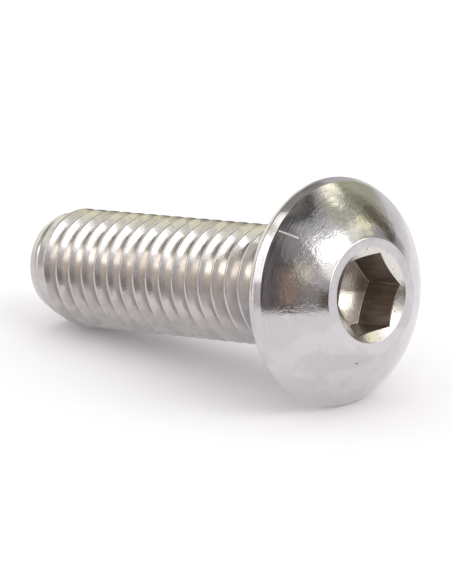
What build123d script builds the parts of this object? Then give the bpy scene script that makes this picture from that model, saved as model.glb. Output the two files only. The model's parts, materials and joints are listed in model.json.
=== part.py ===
# Button head screw, M5 x 16, with a hex socket. It is one piece of stainless steel,
# headed, punched and rolled, and it lies on its side as it comes to rest: the rim
# of the head and the end of the shank touch the ground.
#
# Millimetres, +Z up. The head is towards +X. The origin is on the ground, under
# the middle of the screw's bounding box.

import os
from math import acos, atan2, ceil, cos, degrees, floor, hypot, pi, radians, tan

from build123d import *

# Shank
thread_diameter = 5.0
thread_pitch = 0.8              # right-handed
flank_angle = 30.0              # each flank, from square to the axis
shank_length = 16.0             # from the bearing face to the end
neck_length = 1.2               # from the bearing face to the first full crest
neck_chamfer = 0.3              # where the neck meets the bearing face
run_out = 0.95                  # the groove rises out over this length, beside the neck
crest_slope = 30.0              # of the cone from the neck to the crests
groove_start = 0.55             # how far a root on the underside is from the bearing face
end_diameter = 4.3              # of the flat end
end_taper = 1.1                 # length of the taper from there to the crests

# Head
head_diameter = 9.4
head_height = 2.5
rim_fillet = 0.4                # from the bearing face round to the rim
rim_land = 0.05                 # straight part of the rim
shoulder_rise = 0.31            # the rim then leans in, up to a crisp edge
shoulder_inset = 0.16
dome_radius = 8.0
top_diameter = 4.98             # flat ring round the socket

# Hex socket
across_flats = 3.1
socket_depth = 1.95             # at the corners
floor_angle = 15.0              # the punch's point: the floor falls to its middle
socket_turn = 2.0               # from having one flat straight up
countersink_diameter = 3.92
countersink_angle = 120.0

# The seam of the turned faces is turned away from the line that rests on the ground,
# so that a meshed copy lies on flats and not on an edge.
seam_turn = 15.0

# The rolling dies raise the crests from a rod of the thread's pitch diameter.
rod_diameter = thread_diameter - 0.6495 * thread_pitch

crest_radius = thread_diameter / 2
neck_radius = rod_diameter / 2
head_radius = head_diameter / 2
top_radius = top_diameter / 2
corner_radius = across_flats / 2 / cos(pi / 6)
end_radius = end_diameter / 2
crest_width = thread_pitch / 8
groove_depth = (thread_pitch - crest_width) / 2 / tan(radians(flank_angle))
root_radius = crest_radius - groove_depth
rim_height = rim_fillet + rim_land
shoulder_radius = head_radius - shoulder_inset
shoulder_height = rim_height + shoulder_rise


def crest_rise():
    """Length of the cone from the neck to the crests."""
    return (crest_radius - neck_radius) / tan(radians(crest_slope))


def turned_body():
    """The screw without its socket, upright, with the bearing face at z = 0."""
    end = -shank_length

    with BuildPart() as body:
        with BuildSketch(Plane.XZ) as section:
            with BuildLine():
                underside = Polyline(
                    (0, end),
                    (end_radius, end),
                    (crest_radius, end + end_taper),
                    (crest_radius, -neck_length),
                    (neck_radius, -neck_length + crest_rise()),
                    (neck_radius, 0),
                    (head_radius, 0),
                    (head_radius, rim_height),
                    (shoulder_radius, shoulder_height),
                )
                dome = RadiusArc(underside @ 1, (top_radius, head_height), -dome_radius)
                Polyline(dome @ 1, (0, head_height), (0, end))
            make_face()
            chamfer(section.vertices().sort_by_distance((neck_radius, 0))[0], neck_chamfer)
            fillet(section.vertices().sort_by_distance((head_radius, 0))[0], rim_fillet)
        revolve(axis=Axis.Z)
    return body.part


def groove_turns(turns, height, lean=0):
    """A V that winds up from this height, to cut the thread's groove."""
    clear = 0.05
    half_mouth = (groove_depth + clear) * tan(radians(flank_angle))
    with BuildSketch(Plane.XZ) as section:
        with BuildLine():
            Polyline(
                (root_radius, height),
                (crest_radius + clear, height + half_mouth),
                (crest_radius + clear, height - half_mouth),
                close=True,
            )
        make_face()
    way = Helix(thread_pitch, turns * thread_pitch, root_radius, center=(0, 0, height), cone_angle=lean)
    return sweep(section.sketch, path=way, is_frenet=True)


def thread_groove():
    """The rolled groove, a turn at a time, and its run-out, which winds out of the neck."""
    high = -neck_length + crest_rise() - run_out
    wound = 360 * (high + groove_start) / thread_pitch
    turns = ceil((shank_length + high) / thread_pitch + 0.5)
    turn = groove_turns(1, high - thread_pitch)
    full = [Pos(Z=-thread_pitch * number) * turn for number in range(turns)]
    lean = degrees(atan2(neck_radius + 0.02 - root_radius, run_out))
    return [Rot(Z=wound) * cut for cut in full + [groove_turns(run_out / thread_pitch, high, lean)]]


def socket():
    """The space the punch leaves in the head: a hex, a dished floor and a countersink."""
    floor = head_height - socket_depth
    point = floor - corner_radius * tan(radians(floor_angle))
    sink_radius = countersink_diameter / 2
    sink_depth = sink_radius / tan(radians(countersink_angle / 2))

    with BuildPart() as punch:
        with BuildSketch(Plane.XY.offset(point)):
            RegularPolygon(across_flats / 2, 6, major_radius=False, rotation=30 + socket_turn)
        extrude(amount=head_height - point)
        with BuildSketch(Plane.XZ):
            with BuildLine():
                Polyline(
                    (0, point),
                    (corner_radius, floor),
                    (corner_radius, head_height),
                    (0, head_height),
                    close=True,
                )
            make_face()
        revolve(axis=Axis.Z, mode=Mode.INTERSECT)
        with BuildSketch(Plane.XZ):
            with BuildLine():
                Polyline(
                    (0, head_height),
                    (sink_radius, head_height),
                    (0, head_height - sink_depth),
                    close=True,
                )
            make_face()
        revolve(axis=Axis.Z)
    return punch.part


def lying_tilt():
    """Angle of the axis above the ground, with the rim and the end both touching it."""
    rise = head_radius - rim_fillet - crest_radius
    first_crest = groove_start - thread_pitch / 2
    crests = floor((shank_length - end_taper - first_crest) / thread_pitch)
    run = first_crest + crests * thread_pitch + rim_fillet
    return degrees(acos(-rim_fillet / hypot(rise, run)) - atan2(run, rise))


def laid_down(screw):
    """Turn the axis from +Z to lie along +X, head up by the tilt, and set it down."""
    lying = Rot(Y=90 - lying_tilt()) * screw
    box = lying.bounding_box()
    return Pos(-box.center().X, 0, -box.min.Z) * lying


os.makedirs("parts", exist_ok=True)
button_head_screw = laid_down(Rot(Z=seam_turn) * turned_body() - thread_groove() - socket())
export_step(button_head_screw, "parts/button_head_screw.step")
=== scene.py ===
# An M5 x 16 button head screw in stainless steel, lying on a pale floor.
import json
from math import asin, atan2, cos, degrees, hypot, pi, radians, sin, tan

import bmesh
import bpy
from mathutils import Matrix, Vector


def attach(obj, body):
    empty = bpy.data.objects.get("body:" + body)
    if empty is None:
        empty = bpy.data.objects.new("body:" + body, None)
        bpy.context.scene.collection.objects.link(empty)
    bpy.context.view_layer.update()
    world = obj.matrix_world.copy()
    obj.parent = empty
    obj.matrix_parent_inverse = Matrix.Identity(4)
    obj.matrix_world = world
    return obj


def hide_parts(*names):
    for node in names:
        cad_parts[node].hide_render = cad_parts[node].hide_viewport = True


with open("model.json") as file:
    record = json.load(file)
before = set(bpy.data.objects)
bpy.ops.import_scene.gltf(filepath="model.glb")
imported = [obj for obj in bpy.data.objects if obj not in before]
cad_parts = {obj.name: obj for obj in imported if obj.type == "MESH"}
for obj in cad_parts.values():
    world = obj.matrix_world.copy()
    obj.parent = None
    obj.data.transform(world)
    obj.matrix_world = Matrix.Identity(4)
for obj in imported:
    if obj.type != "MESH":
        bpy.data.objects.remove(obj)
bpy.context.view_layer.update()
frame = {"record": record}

# ---------------------------------------------------------------------------
# Button head: the head and the neck under it, upset cold from the rod and then
# tumbled bright. Drawn in millimetres on +Z, with the bearing face at z = 0.
# ---------------------------------------------------------------------------
HEAD_RADIUS = 4.698
HEAD_HEIGHT = 2.5
RIM_FILLET = 0.4
RIM_HEIGHT = 0.45
SHOULDER_RADIUS = 4.54
SHOULDER_HEIGHT = 0.76
DOME_RADIUS = 8.0
RING_RADIUS = 2.42
RING_OFF_CENTRE = 0.08            # the flat is struck a little low
SINK_RADIUS = 1.96
SINK_ANGLE = 30.0
NECK_RADIUS = 2.24
NECK_FILLET = 0.3
NECK_END = -0.6
SOCKET_TURN = 2.0                 # from having one flat straight up
STEPS_ROUND = 144

# How far the tumbling has worn each edge back.
RING_WEAR = 0.03
RIM_WEAR = 0.045
SHOULDER_WEAR = 0.012
MOUTH_WEAR = 0.015


def line_to(bm, tip, radius, height, stops=(1,)):
    """Draw the section on from its tip in a straight line, with a vertex at each stop."""
    start = tip.co.copy()
    for stop in stops:
        end = bm.verts.new(start.lerp(Vector((radius, 0, height)), stop))
        bm.edges.new((tip, end))
        tip = end
    return tip


def arc_to(bm, tip, centre, angle, steps):
    """Draw the section on from its tip in an arc, clockwise where the angle is positive."""
    turn = bmesh.ops.spin(
        bm, geom=[tip], cent=(centre[0], 0, centre[1]), axis=(0, 1, 0),
        angle=radians(angle), steps=steps, use_merge=False, use_duplicate=False,
    )
    return next(g for g in turn["geom_last"] if isinstance(g, bmesh.types.BMVert))


def soften(bm, corner, reach, segments=4):
    """Round one corner of the section, starting this far from it."""
    bmesh.ops.bevel(
        bm, geom=[corner], offset=reach, offset_type="OFFSET", segments=segments,
        profile=0.5, affect="VERTICES", material=-1,
    )


screw = bmesh.new()

# The dome is part of a circle through the ring's edge and the shoulder's.
chord = Vector((SHOULDER_RADIUS - RING_RADIUS, SHOULDER_HEIGHT - HEAD_HEIGHT))
sagging = (DOME_RADIUS ** 2 - (chord.length / 2) ** 2) ** 0.5
inward = Vector((chord.y, -chord.x)).normalized()
dome_centre = Vector((RING_RADIUS, HEAD_HEIGHT)) + chord / 2 + inward * sagging
dome_sweep = degrees(2 * asin(chord.length / 2 / DOME_RADIUS))

sink_start = 2 * MOUTH_WEAR
tip = screw.verts.new(
    (SINK_RADIUS - sink_start, 0, HEAD_HEIGHT - sink_start * tan(radians(SINK_ANGLE)))
)
tip = mouth_edge = line_to(screw, tip, SINK_RADIUS, HEAD_HEIGHT)
ring_edge = line_to(screw, tip, RING_RADIUS, HEAD_HEIGHT, stops=(0.08, 0.5, 1))
shoulder = arc_to(screw, ring_edge, dome_centre, dome_sweep, steps=26)
tip = rim_edge = line_to(screw, shoulder, HEAD_RADIUS, RIM_HEIGHT, stops=(0.12, 1))
tip = line_to(screw, tip, HEAD_RADIUS, RIM_FILLET)
tip = arc_to(screw, tip, (HEAD_RADIUS - RIM_FILLET, RIM_FILLET), 90, steps=10)
tip = line_to(screw, tip, NECK_RADIUS + NECK_FILLET, 0, stops=(0.1, 0.5, 0.9, 1))
tip = arc_to(screw, tip, (NECK_RADIUS + NECK_FILLET, -NECK_FILLET), -90, steps=6)
line_to(screw, tip, NECK_RADIUS, NECK_END)
soften(screw, ring_edge, RING_WEAR)
soften(screw, rim_edge, RIM_WEAR)
soften(screw, shoulder, SHOULDER_WEAR, segments=2)
soften(screw, mouth_edge, MOUTH_WEAR, segments=2)

# One flat of the socket faces up but for its turn, and a step of the spin falls on
# each of its corners.
bmesh.ops.rotate(
    screw, verts=screw.verts, cent=(0, 0, 0), matrix=Matrix.Rotation(radians(SOCKET_TURN), 3, "Z")
)
bmesh.ops.spin(
    screw, geom=screw.verts[:] + screw.edges[:], cent=(0, 0, 0), axis=(0, 0, 1),
    angle=2 * pi, steps=STEPS_ROUND, use_merge=True, use_duplicate=False,
)

# The ring's edge is moved off the axis, and the steel on either side of it less and less,
# so that the socket's mouth stays where it is.
moved_within = RING_RADIUS - SINK_RADIUS - 0.02
for vert in screw.verts:
    near = 1 - abs(hypot(vert.co.x, vert.co.y) - RING_RADIUS) / moved_within
    if near > 0 and vert.co.z > SHOULDER_HEIGHT:
        vert.co.x += RING_OFF_CENTRE * near

# ---------------------------------------------------------------------------
# Hex socket: punched into the cold head. The punch's point dishes the floor, and a
# countersink opens the mouth.
# ---------------------------------------------------------------------------
ACROSS_FLATS = 3.1
SOCKET_DEPTH = 1.95
FLOOR_ANGLE = 15.0
POINT_RADIUS = 0.25               # the punch's point is flat within this
CORNER_RADIUS = ACROSS_FLATS / 2 / cos(pi / 6)
WALL, PRESSED = 2, 3              # their places among the screw's finishes


def wall_radius(angle):
    """How far the socket's wall is from the axis in this direction."""
    from_flat = (degrees(angle) - SOCKET_TURN + 30) % 60 - 30
    return ACROSS_FLATS / 2 / cos(radians(from_flat))


def sink_height(radius):
    return HEAD_HEIGHT - (SINK_RADIUS - radius) * tan(radians(SINK_ANGLE))


def floor_height(radius):
    below_corner = (CORNER_RADIUS - max(radius, POINT_RADIUS)) * tan(radians(FLOOR_ANGLE))
    return HEAD_HEIGHT - SOCKET_DEPTH - below_corner


def drawn_in(edges, place, finish):
    """Extrude a loop of edges, put each new vertex where place says and give the faces a finish."""
    made = bmesh.ops.extrude_edge_only(screw, edges=edges)["geom"]
    for vert in (g for g in made if isinstance(g, bmesh.types.BMVert)):
        angle = atan2(vert.co.y, vert.co.x)
        radius, height = place(angle)
        vert.co = (radius * cos(angle), radius * sin(angle), height)
    for face in (g for g in made if isinstance(g, bmesh.types.BMFace)):
        face.material_index = finish
    return [g for g in made if isinstance(g, bmesh.types.BMEdge) and g.is_boundary]


loop = [
    e for e in screw.edges if e.is_boundary and all(v.co.z > HEAD_HEIGHT / 2 for v in e.verts)
]
for part_way in (0.5, 0.92, 1.0):
    def on_sink(angle):
        radius = SINK_RADIUS + (wall_radius(angle) - SINK_RADIUS) * part_way
        return radius, sink_height(radius)
    loop = drawn_in(loop, on_sink, PRESSED)
for part_way in (0.05, 0.5, 0.985, 1.0):
    def on_wall(angle):
        radius = wall_radius(angle)
        return radius, sink_height(radius) + (floor_height(radius) - sink_height(radius)) * part_way
    loop = drawn_in(loop, on_wall, WALL)
for part_way in (0.985, 0.7, 0.45, 0.2):
    def on_floor(angle):
        radius = wall_radius(angle) * part_way
        return radius, floor_height(radius)
    loop = drawn_in(loop, on_floor, PRESSED)
for face in bmesh.ops.edgeloop_fill(screw, edges=loop)["faces"]:
    face.material_index = PRESSED

# ---------------------------------------------------------------------------
# Thread: rolled between dies, so its roots are round and it fades out at the neck and
# at the end. Right-handed, M5 x 0.8. The end is chamfered, a little off the axis.
# ---------------------------------------------------------------------------
PITCH = 0.8
CREST_RADIUS = 2.5
CREST_FLAT = PITCH / 8
CREST_WEAR = 0.02
ROOT_DEPTH = 0.6134 * PITCH
ROOT_ROUND = 0.115
CREST_AT = -0.150                 # height of a crest on the side that rests on the ground
FADE_START = -1.7
FADE_END = -0.75
BLANK_RADIUS = 2.32               # the rod's end, where the dies' grip fades out
BLANK_FROM = -14.75
BLANK_TO = -15.0
SHANK_LENGTH = 16.0
END_RADIUS = 2.06
END_SLOPE = 0.4
END_OFF_CENTRE = 0.148
END_TURN = 212.0                  # the way it is off
THREAD_STEPS = 120
TURNS = 22

flank = radians(30)
root_centre = CREST_RADIUS - ROOT_DEPTH + ROOT_ROUND

thread = bmesh.new()
tip = thread.verts.new((CREST_RADIUS, 0, 0))
first_corner = tip = line_to(thread, tip, CREST_RADIUS, CREST_FLAT / 2)
root_start = Vector((root_centre - ROOT_ROUND * sin(flank), PITCH / 2 - ROOT_ROUND * cos(flank)))
crest_corner = Vector((CREST_RADIUS, CREST_FLAT / 2))
for part_way in (0.1, 0.5, 0.92, 1.0):
    on_flank = crest_corner.lerp(root_start, part_way)
    tip = line_to(thread, tip, on_flank.x, on_flank.y)
tip = arc_to(thread, tip, (root_centre, PITCH / 2), 120, steps=8)
for part_way in (0.08, 0.5, 0.9, 1.0):
    on_flank = root_start.lerp(crest_corner, part_way)
    tip = line_to(thread, tip, on_flank.x, PITCH - on_flank.y)
last_corner = tip
line_to(thread, tip, CREST_RADIUS, PITCH)
soften(thread, first_corner, CREST_WEAR)
soften(thread, last_corner, CREST_WEAR)

# One turn is spun, the rest are copies of it, and then all are cut to length.
bmesh.ops.translate(thread, verts=thread.verts, vec=(0, 0, CREST_AT - PITCH * (TURNS - 1)))
bmesh.ops.spin(
    thread, geom=thread.verts[:] + thread.edges[:], cent=(0, 0, 0), axis=(0, 0, 1),
    dvec=(0, 0, PITCH / THREAD_STEPS), angle=2 * pi, steps=THREAD_STEPS,
    use_merge=False, use_duplicate=False,
)
one_turn = thread.verts[:] + thread.edges[:] + thread.faces[:]
for turn in range(1, TURNS):
    copied = bmesh.ops.duplicate(thread, geom=one_turn)["geom"]
    moved = [g for g in copied if isinstance(g, bmesh.types.BMVert)]
    bmesh.ops.translate(thread, verts=moved, vec=(0, 0, PITCH * turn))
bmesh.ops.remove_doubles(thread, verts=thread.verts, dist=0.003)


def fade(height, start, stop):
    """Go smoothly from 0 at the start to 1 at the stop."""
    part = min(1, max(0, (height - start) / (stop - start)))
    return part * part * (3 - 2 * part)


# The groove fades into the neck and out at the end, and the end is chamfered.
end = -SHANK_LENGTH
for vert in thread.verts:
    radius = hypot(vert.co.x, vert.co.y)
    kept = radius + (NECK_RADIUS - radius) * fade(vert.co.z, FADE_START, FADE_END)
    kept += max(0, BLANK_RADIUS - kept) * fade(vert.co.z, BLANK_FROM, BLANK_TO)
    around = atan2(vert.co.y, vert.co.x) - radians(END_TURN)
    kept = min(kept, END_RADIUS + END_OFF_CENTRE * cos(around) + END_SLOPE * (vert.co.z - end))
    vert.co.x *= kept / radius
    vert.co.y *= kept / radius
for height, way in ((end, -1), (FADE_END, 1)):
    bmesh.ops.bisect_plane(
        thread, geom=thread.verts[:] + thread.edges[:] + thread.faces[:], dist=1e-5,
        plane_co=(0, 0, height), plane_no=(0, 0, way), clear_outer=True, clear_inner=False,
    )
end_edges = [
    e for e in thread.edges if e.is_boundary and all(abs(v.co.z - end) < 1e-3 for v in e.verts)
]
bmesh.ops.edgeloop_fill(thread, edges=end_edges)
for face in thread.faces:
    face.material_index = 1

shank = bpy.data.meshes.new("shank")
thread.to_mesh(shank)
thread.free()
screw.from_mesh(shank)
bpy.data.meshes.remove(shank)
bmesh.ops.bridge_loops(screw, edges=[e for e in screw.edges if e.is_boundary])
bmesh.ops.recalc_face_normals(screw, faces=screw.faces)
for face in screw.faces:
    face.smooth = True

# Lay it down, in metres, where the CAD's socket mount says.
MILLIMETRE = 0.001
socket_mount = next(m for m in frame["record"]["mounts"] if m["name"] == "hex_socket")
axis = Vector(socket_mount["axis"])
lying = (
    Matrix.Translation(Vector(socket_mount["pos_m"]) - axis * HEAD_HEIGHT * MILLIMETRE)
    @ Matrix.Rotation(atan2(axis.x, axis.z), 4, "Y")
    @ Matrix.Scale(MILLIMETRE, 4)
)
bmesh.ops.transform(screw, matrix=lying, verts=screw.verts)
mesh = bpy.data.meshes.new("button_head_screw")
screw.to_mesh(mesh)
screw.free()
piece = bpy.data.objects.new("finished_screw", mesh)
bpy.context.scene.collection.objects.link(piece)
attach(piece, "root")
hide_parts("button_head_screw")

# ---------------------------------------------------------------------------
# Finishes of the one steel: the dome and the thread are bright from tumbling and
# rolling, and the socket is dull from the punch and painted darker as shade. Sizes in
# millimetres, with the bearing face at z = 0, as the screw was drawn.
# ---------------------------------------------------------------------------
def feed(tree, slots, values):
    """Feed a node's inputs in turn with numbers or with other nodes' outputs, or leave one at None."""
    for slot, value in zip(slots, values):
        if isinstance(value, bpy.types.NodeSocket):
            tree.links.new(value, slot)
        elif value is not None:
            slot.default_value = value


def node(tree, kind, *fed, **settings):
    made = tree.nodes.new("ShaderNode" + kind)
    for name, value in settings.items():
        setattr(made, name, value)
    feed(tree, made.inputs, fed)
    return made


def maths(tree, operation, *fed):
    return node(tree, "Math", *fed, operation=operation).outputs[0]


def vectors(tree, operation, *fed):
    """Do this to places or directions. A length, a distance or a dot product is a number."""
    made = node(tree, "VectorMath", *fed, operation=operation).outputs
    return made["Value" if operation in ("LENGTH", "DISTANCE", "DOT_PRODUCT") else "Vector"]


def product(tree, *fed):
    return maths(tree, "MULTIPLY", *fed)


def noise(tree, place, scale, detail, roughness=None):
    return node(tree, "TexNoise", place, None, scale, detail, roughness).outputs["Fac"]


def between(tree, value, low, high, low_to=0.0, high_to=1.0):
    """Go smoothly from one value to another as the input goes from low to high."""
    made = node(tree, "MapRange", value, low, high, low_to, high_to, interpolation_type="SMOOTHSTEP")
    return made.outputs[0]


def mixed(tree, mask, one, other):
    """Go from one colour to the other where the mask is white."""
    made = node(tree, "Mix", data_type="RGBA")
    colours = [(*c, 1) if isinstance(c, tuple) else c for c in (one, other)]
    feed(tree, (made.inputs[0], made.inputs[6], made.inputs[7]), (mask, *colours))
    return made.outputs[2]


def from_axis(tree, place):
    return vectors(tree, "LENGTH", vectors(tree, "MULTIPLY", place, (1.0, 1.0, 0.0)))


def effect(name, takes, gives):
    """Start a node group. Returns it, what it is given and where its outputs go."""
    group = bpy.data.node_groups.new(name, "ShaderNodeTree")
    for label, kind in takes:
        group.interface.new_socket(label, in_out="INPUT", socket_type="NodeSocket" + kind)
    for label, kind in gives:
        group.interface.new_socket(label, in_out="OUTPUT", socket_type="NodeSocket" + kind)
    given = group.nodes.new("NodeGroupInput").outputs
    return group, given, group.nodes.new("NodeGroupOutput").inputs


def placed(tree, group, **given):
    """Use a node group in this tree, given its inputs by name."""
    made = tree.nodes.new("ShaderNodeGroup")
    made.node_tree = group
    feed(tree, [made.inputs[name] for name in given], given.values())
    return made.outputs


# Knocks of the tumbling barrel: shallow, winding dents of mixed size.
knocks, given, gone = effect(
    "knocks", (("Place", "Vector"), ("Size", "Float"), ("Depth", "Float")), (("Height", "Float"),)
)
scale = maths(knocks, "DIVIDE", 1.0, given["Size"])
drift = node(knocks, "TexNoise", given["Place"], None, scale, 1.0).outputs["Color"]
drifted = vectors(knocks, "ADD", given["Place"], vectors(knocks, "MULTIPLY", drift, given["Size"]))
worms = noise(knocks, drifted, scale, detail=1.5, roughness=0.5)
dent = between(knocks, maths(knocks, "ABSOLUTE", maths(knocks, "SUBTRACT", worms, 0.5)), 0.0, 0.12)
swell = noise(knocks, given["Place"], product(knocks, scale, 0.4), detail=2.0)
height = maths(knocks, "ADD", product(knocks, dent, 0.45), product(knocks, swell, 3.0))
knocks.links.new(product(knocks, height, given["Depth"]), gone["Height"])

# Lines that run round the axis, from the dies and the turning of the blank.
lines, given, gone = effect(
    "lines_round", (("Place", "Vector"), ("Spacing", "Float"), ("Depth", "Float")),
    (("Height", "Float"), ("Streak", "Float")),
)
split = node(lines, "SeparateXYZ", given["Place"]).outputs
reach = from_axis(lines, given["Place"])
across = maths(lines, "DIVIDE", maths(lines, "SUBTRACT", reach, split["Z"]), given["Spacing"])
wound = [product(lines, maths(lines, "DIVIDE", split[way], reach), 3.0) for way in "XY"]
wound = node(lines, "CombineXYZ", *wound, across).outputs[0]
grain = noise(lines, wound, 1.0, detail=3.0, roughness=0.6)
lines.links.new(product(lines, grain, given["Depth"]), gone["Height"])
lines.links.new(between(lines, grain, 0.5, 0.72), gone["Streak"])

# One straight scratch across the surface, from one point to another.
scratch, given, gone = effect(
    "scratch", (("Place", "Vector"), ("From", "Vector"), ("To", "Vector"), ("Width", "Float")),
    (("Mask", "Float"),),
)
run = vectors(scratch, "SUBTRACT", given["To"], given["From"])
length = vectors(scratch, "LENGTH", run)
reached = vectors(scratch, "SUBTRACT", given["Place"], given["From"])
off = vectors(scratch, "LENGTH", vectors(scratch, "CROSS_PRODUCT", reached, run))
off = maths(scratch, "DIVIDE", off, length)
on_line = between(scratch, off, product(scratch, given["Width"], 0.5), given["Width"], 1.0, 0.0)
part = vectors(scratch, "DOT_PRODUCT", reached, run)
part = maths(scratch, "DIVIDE", part, product(scratch, length, length))
ends = product(scratch, between(scratch, part, 0.0, 0.1), between(scratch, part, 0.9, 1.0, 1.0, 0.0))
scratch.links.new(product(scratch, on_line, ends), gone["Mask"])

# Film and specks left by the work and by handling.
film, given, gone = effect(
    "film", (("Place", "Vector"), ("Size", "Float"), ("Cover", "Float")), (("Mask", "Float"),)
)
scale = maths(film, "DIVIDE", 1.0, given["Size"])
cloud = noise(film, given["Place"], scale, detail=4.0, roughness=0.6)
edge = maths(film, "SUBTRACT", 0.7, product(film, given["Cover"], 0.4))
soft = [maths(film, way, edge, 0.07) for way in ("SUBTRACT", "ADD")]
film.links.new(between(film, cloud, *soft), gone["Mask"])


def steel(name):
    """A steel finish: its tree, its shader, and places on the screw in millimetres."""
    made = bpy.data.materials.new(name)
    made.use_nodes = True
    tree = made.node_tree
    shader = tree.nodes["Principled BSDF"]
    shader.inputs["Metallic"].default_value = 1.0
    upright = node(
        tree, "Mapping", node(tree, "TexCoord").outputs["Object"], lying.translation,
        (0, atan2(axis.x, axis.z), 0), (MILLIMETRE,) * 3, vector_type="TEXTURE",
    )
    mesh.materials.append(made)
    return tree, shader, upright.outputs[0]


def raised(tree, shader, height):
    """Shape the surface by this height in millimetres."""
    bump = node(tree, "Bump", 1.0, MILLIMETRE)
    tree.links.new(height, bump.inputs["Height"])
    tree.links.new(bump.outputs[0], shader.inputs["Normal"])


# Head: dents all over the dome, lines round its edge on one side, painted darker there as
# a painted reflection, a scratch over the shoulder and a pit, painted near black as shade.
SCRATCH = {"From": (-3.2, -3.2, 0.82), "To": (-2.8, -2.68, 1.45), "Width": 0.045}
PIT_AT = (2.69, -0.96, 2.27)
CUT_DEPTH = 0.02
tree, shader, place = steel("head_steel")
reach = from_axis(tree, place)
off_ring = between(tree, reach, 2.5, 2.8, 0.25, 1.0)
on_dome = product(tree, off_ring, between(tree, reach, 3.6, 4.3, 1.0, 0.4))
dents = placed(tree, knocks, Place=place, Size=0.13, Depth=0.0032)["Height"]
dents = product(tree, dents, on_dome)
streaks = placed(tree, lines, Place=place, Spacing=0.12, Depth=0.003)
streaked_side = between(tree, vectors(tree, "DOT_PRODUCT", place, (-0.77, -0.64, 0.0)), 2.0, 3.8, 0.1, 1.0)
scuffs_and_dark_reflection = product(tree, between(tree, reach, 3.6, 4.3), streaked_side)
cut = placed(tree, scratch, Place=place, **SCRATCH)["Mask"]
pit = between(tree, vectors(tree, "DISTANCE", place, PIT_AT), 0.03, 0.08, 1.0, 0.0)
cut_down = product(tree, maths(tree, "MAXIMUM", cut, pit), -CUT_DEPTH)
height = maths(tree, "ADD", dents, product(tree, streaks["Height"], scuffs_and_dark_reflection))
raised(tree, shader, maths(tree, "ADD", height, cut_down))
dull = placed(tree, film, Place=place, Size=1.4, Cover=0.5)["Mask"]
tone = mixed(tree, dull, (0.67, 0.65, 0.66), (0.61, 0.59, 0.6))
# Painted reflection: on that side the lines are darkened in colour as well as raised.
painted_dark_reflection = product(tree, product(tree, streaks["Streak"], scuffs_and_dark_reflection), 0.7)
tone = mixed(tree, painted_dark_reflection, tone, (0.36, 0.31, 0.33))
tone = mixed(tree, cut, tone, (0.86, 0.85, 0.84))
# The pit is painted near black, as painted shade in its hollow.
tone = mixed(tree, pit, tone, (0.12, 0.11, 0.11))
tree.links.new(tone, shader.inputs["Base Color"])
satin = maths(tree, "ADD", between(tree, dull, 0.0, 1.0, 0.1, 0.15), product(tree, cut, 0.4))
tree.links.new(satin, shader.inputs["Roughness"])

# Thread: rolled bright, with fine lines along it and painted shade low in the groove.
tree, shader, place = steel("thread_steel")
streaks = placed(tree, lines, Place=place, Spacing=0.05, Depth=0.0015)
dents = placed(tree, knocks, Place=place, Size=0.2, Depth=0.0016)
raised(tree, shader, maths(tree, "ADD", streaks["Height"], dents["Height"]))
dull = placed(tree, film, Place=place, Size=0.8, Cover=0.5)["Mask"]
tone = mixed(tree, dull, (0.6, 0.575, 0.572), (0.535, 0.51, 0.505))
# Painted shade: darker and browner towards the roots of the groove.
painted_root_shade = product(tree, between(tree, from_axis(tree, place), 2.12, 2.4, 1.0, 0.0), 0.4)
tone = mixed(tree, painted_root_shade, tone, (0.5, 0.45, 0.39))
tree.links.new(tone, shader.inputs["Base Color"])
tree.links.new(between(tree, dull, 0.0, 1.0, 0.17, 0.24), shader.inputs["Roughness"])

# Socket walls: scraped by the punch, and painted darker than the rest as painted shade.
tree, shader, place = steel("punched_wall")
along = vectors(tree, "MULTIPLY", place, (1.0, 1.0, 0.18))
dull = placed(tree, film, Place=along, Size=0.22, Cover=0.55)["Mask"]
# Both tones of the walls are painted dark, as painted shade of the recess.
tone = mixed(tree, dull, (0.46, 0.395, 0.35), (0.37, 0.31, 0.275))
tree.links.new(tone, shader.inputs["Base Color"])
shader.inputs["Roughness"].default_value = 0.4
raised(tree, shader, placed(tree, knocks, Place=along, Size=0.16, Depth=0.005)["Height"])

# Socket floor and countersink: pressed and left satin, with dark specks. The upper half
# of the floor is painted darker as painted shade, up to a straight edge across its middle.
tree, shader, place = steel("pressed_steel")
specks = placed(tree, film, Place=place, Size=0.16, Cover=0.12)["Mask"]
split = node(tree, "SeparateXYZ", place).outputs
wavy = maths(tree, "SUBTRACT", product(tree, noise(tree, place, 2.5, detail=2.0), 0.3), 0.15)
down = maths(tree, "SUBTRACT", maths(tree, "ADD", split["X"], wavy), product(tree, split["Y"], 0.2))
near_floor = between(tree, split["Z"], 1.0, 1.6, 0.75, 0.0)
# Painted shade: the upper half of the floor, near its bottom, is darkened.
painted_shade_half = product(tree, between(tree, down, -0.04, 0.04, 1.0, 0.0), near_floor)
tone = mixed(tree, painted_shade_half, (0.76, 0.74, 0.7), (0.34, 0.29, 0.24))
tone = mixed(tree, specks, tone, (0.36, 0.31, 0.26))
tree.links.new(tone, shader.inputs["Base Color"])
shader.inputs["Roughness"].default_value = 0.22
raised(tree, shader, placed(tree, knocks, Place=place, Size=0.2, Depth=0.0022)["Height"])

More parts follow.
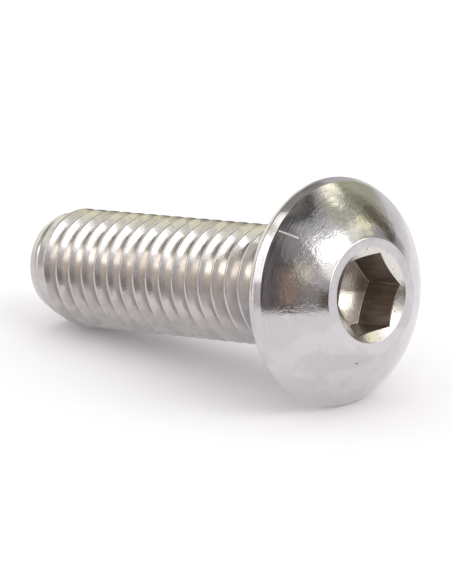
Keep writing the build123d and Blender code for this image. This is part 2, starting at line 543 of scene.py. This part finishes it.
# ---------------------------------------------------------------------------
# Studio: a pale table top that takes the shadow, in plain white light. Only what the
# steel mirrors is something else: a drawn room of soft patches, whose names are guesses.
# ---------------------------------------------------------------------------
TABLE_RADIUS = 0.07
table = bmesh.new()
bmesh.ops.create_circle(table, cap_ends=True, segments=96, radius=TABLE_RADIUS)
table_mesh = bpy.data.meshes.new("floor")
table.to_mesh(table_mesh)
table.free()
floor = bpy.data.objects.new("floor", table_mesh)
bpy.context.scene.collection.objects.link(floor)
pale = bpy.data.materials.new("pale_floor")
pale.use_nodes = True
tree = pale.node_tree
shader = tree.nodes["Principled BSDF"]
shader.inputs["Base Color"].default_value = (0.98, 0.965, 0.975, 1)
shader.inputs["Roughness"].default_value = 1.0
shader.inputs["Specular IOR Level"].default_value = 0.0
shadeless = node(tree, "Emission", (0.88, 0.85, 0.87, 1), 1.0)
mirrored = product(tree, node(tree, "LightPath").outputs["Is Glossy Ray"], 0.4)
either = node(tree, "MixShader", mirrored, shader.outputs[0], shadeless.outputs[0])
tree.links.new(either.outputs[0], tree.nodes["Material Output"].inputs["Surface"])
table_mesh.materials.append(pale)

world = bpy.data.worlds.new("room")
bpy.context.scene.world = world
world.use_nodes = True
tree = world.node_tree
tree.nodes.clear()
split = node(tree, "SeparateXYZ", node(tree, "TexCoord").outputs["Generated"]).outputs
turn = product(tree, maths(tree, "ARCTAN2", split["Y"], split["X"]), degrees(1))
rise = product(tree, maths(tree, "ARCSINE", split["Z"]), degrees(1))

ROOM = (0.42, 0.41, 0.4)
THINGS = (
    # What it is, the degrees it spans round the room from +X and up from level, how many
    # degrees its edge is soft over, and its colour.
    ("table beyond", 5, 95, -40, 1, 3, (0.95, 0.92, 0.94)),
    ("ceiling", -400, 400, 73, 95, 5, (0.22, 0.22, 0.2)),
    ("ceiling beam", -60, 80, 64, 73, 4, (0.09, 0.09, 0.085)),
    ("upper wall", -20, 95, 55, 65, 6, (0.52, 0.52, 0.52)),
    ("back of the room", 110, 250, -90, 45, 14, (0.6, 0.585, 0.6)),
    ("pale cloth behind", 143, 206, -8, 42, 8, (1.15, 1.14, 1.03)),
    ("upper back", 110, 240, 45, 95, 10, (0.32, 0.32, 0.3)),
    ("open door", 90, 140, -35, 12, 10, (0.8, 0.79, 0.79)),
    ("low on the left", -96, -72, -90, 18, 5, (0.62, 0.6, 0.62)),
    ("white screen", -98, -74, 18, 84, 5, (1.5, 1.48, 1.46)),
    ("top of the screen", -140, -92, 66, 84, 5, (1.5, 1.48, 1.46)),
    ("olive door", -136, -98, 54, 66, 6, (0.85, 0.85, 0.7)),
    ("low window", -126, -97, 26, 56, 6, (4.4, 4.35, 4.1)),
    ("under it", -126, -97, -12, 26, 6, (1.4, 1.3, 1.17)),
    ("dark cupboard", -74, -31, -20, 66, 5, (0.11, 0.098, 0.098)),
    ("cupboard top", -60, -22, 54, 68, 5, (0.14, 0.135, 0.125)),
    ("cupboard's edge", -54, -51, 0, 60, 2, (0.26, 0.22, 0.24)),
    ("brown frame", -44, -33, 2, 30, 5, (0.36, 0.26, 0.21)),
    ("grey wall", -40, -18, 36, 60, 6, (0.33, 0.32, 0.32)),
    ("cream curtain", -31, -22, 20, 36, 4, (0.85, 0.8, 0.64)),
    ("dark shelf", -30, -20, -20, 19, 5, (0.3, 0.29, 0.27)),
    ("pale wall", -20, -13, 2, 34, 4, (0.6, 0.57, 0.59)),
    ("low sill", 11, 45, 6, 24, 4, (3.1, 3.0, 2.7)),
    ("skirting", -20, 6, -12, 12, 6, (0.12, 0.09, 0.07)),
    ("sill", -10, 8, 21, 35, 6, (1.3, 1.27, 1.2)),
    ("dim wall", 12, 50, 25, 34, 6, (0.45, 0.43, 0.38)),
    ("wall by the window", 28, 50, 34, 60, 6, (0.66, 0.65, 0.62)),
    ("grey corner", 43, 68, 42, 64, 6, (0.5, 0.5, 0.41)),
    ("pale curtain", 38, 58, 33, 46, 5, (1.15, 1.16, 1.0)),
    ("olive curtain", 57, 76, 28, 42, 5, (1.2, 1.17, 0.82)),
    ("olive shelf", 72, 106, 30, 46, 6, (0.3, 0.3, 0.22)),
    ("cream wall", 67, 79, 50, 59, 4, (1.85, 1.83, 1.42)),
    ("cream door", 83, 98, 45, 57, 4, (1.8, 1.76, 1.4)),
    ("lower wall", 74, 94, 10, 33, 5, (0.13, 0.11, 0.08)),
    ("far wall", 92, 110, 14, 45, 8, (0.5, 0.5, 0.37)),
    ("window's glow", -15, 38, 32, 56, 5, (0.75, 0.75, 0.74)),
    ("window", -9, 33, 33, 50, 5, (3.0, 3.0, 3.0)),
)
colour = ROOM
for thing, left, right, low, high, soft, tint in THINGS:
    off = maths(tree, "WRAP", maths(tree, "SUBTRACT", turn, (left + right) / 2), 180.0, -180.0)
    up = maths(tree, "SUBTRACT", rise, (low + high) / 2)
    within = []
    for away, half in ((off, (right - left) / 2), (up, (high - low) / 2)):
        away = maths(tree, "ABSOLUTE", away)
        within.append(between(tree, away, half - soft / 2, half + soft / 2, 1.0, 0.0))
    colour = mixed(tree, product(tree, *within), colour, tint)
    colour.node.label = thing
room = node(tree, "Background", colour)
white = node(tree, "Background", (1, 1, 1, 1), 1.0)
mirrored = node(tree, "LightPath").outputs["Is Glossy Ray"]
either = node(tree, "MixShader", mirrored, white.outputs[0], room.outputs[0])
node(tree, "OutputWorld", either.outputs[0])


def towards(turn, rise):
    """The way to look, turned round from +X and raised by these degrees."""
    turn, rise = radians(turn), radians(rise)
    return Vector((cos(turn) * cos(rise), sin(turn) * cos(rise), sin(rise)))


# A soft light from the window's side, for the table and for the shadow.
KEY_TURN, KEY_RISE, KEY_FAR = 6.0, 44.0, 0.5
key = bpy.data.objects.new("key", bpy.data.lights.new("key", "AREA"))
key.data.shape = "RECTANGLE"
key.data.size = 0.32
key.data.size_y = 0.2
key.data.energy = 0.4
key.visible_glossy = False
bpy.context.scene.collection.objects.link(key)
key.location = towards(KEY_TURN, KEY_RISE) * KEY_FAR
key.rotation_euler = key.location.to_track_quat("Z", "Y").to_euler()

# The camera looks down at the dome and into the socket, with the shank running away
# behind the head.
VIEW_TURN, VIEW_FALL, VIEW_FAR = 136.3543, 16.8283, 0.260552
LENS = 386.236
aim = Vector((0.000590606, -0.0000054525, 0.003224543))
looking = towards(VIEW_TURN, -VIEW_FALL)
camera = bpy.data.objects.new("camera", bpy.data.cameras.new("camera"))
bpy.context.scene.collection.objects.link(camera)
camera.location = aim - looking * VIEW_FAR
camera.rotation_euler = looking.to_track_quat("-Z", "Y").to_euler()
camera.data.lens = LENS
camera.data.clip_start = 0.01
bpy.context.scene.camera = camera
bpy.context.scene.view_settings.view_transform = "Standard"
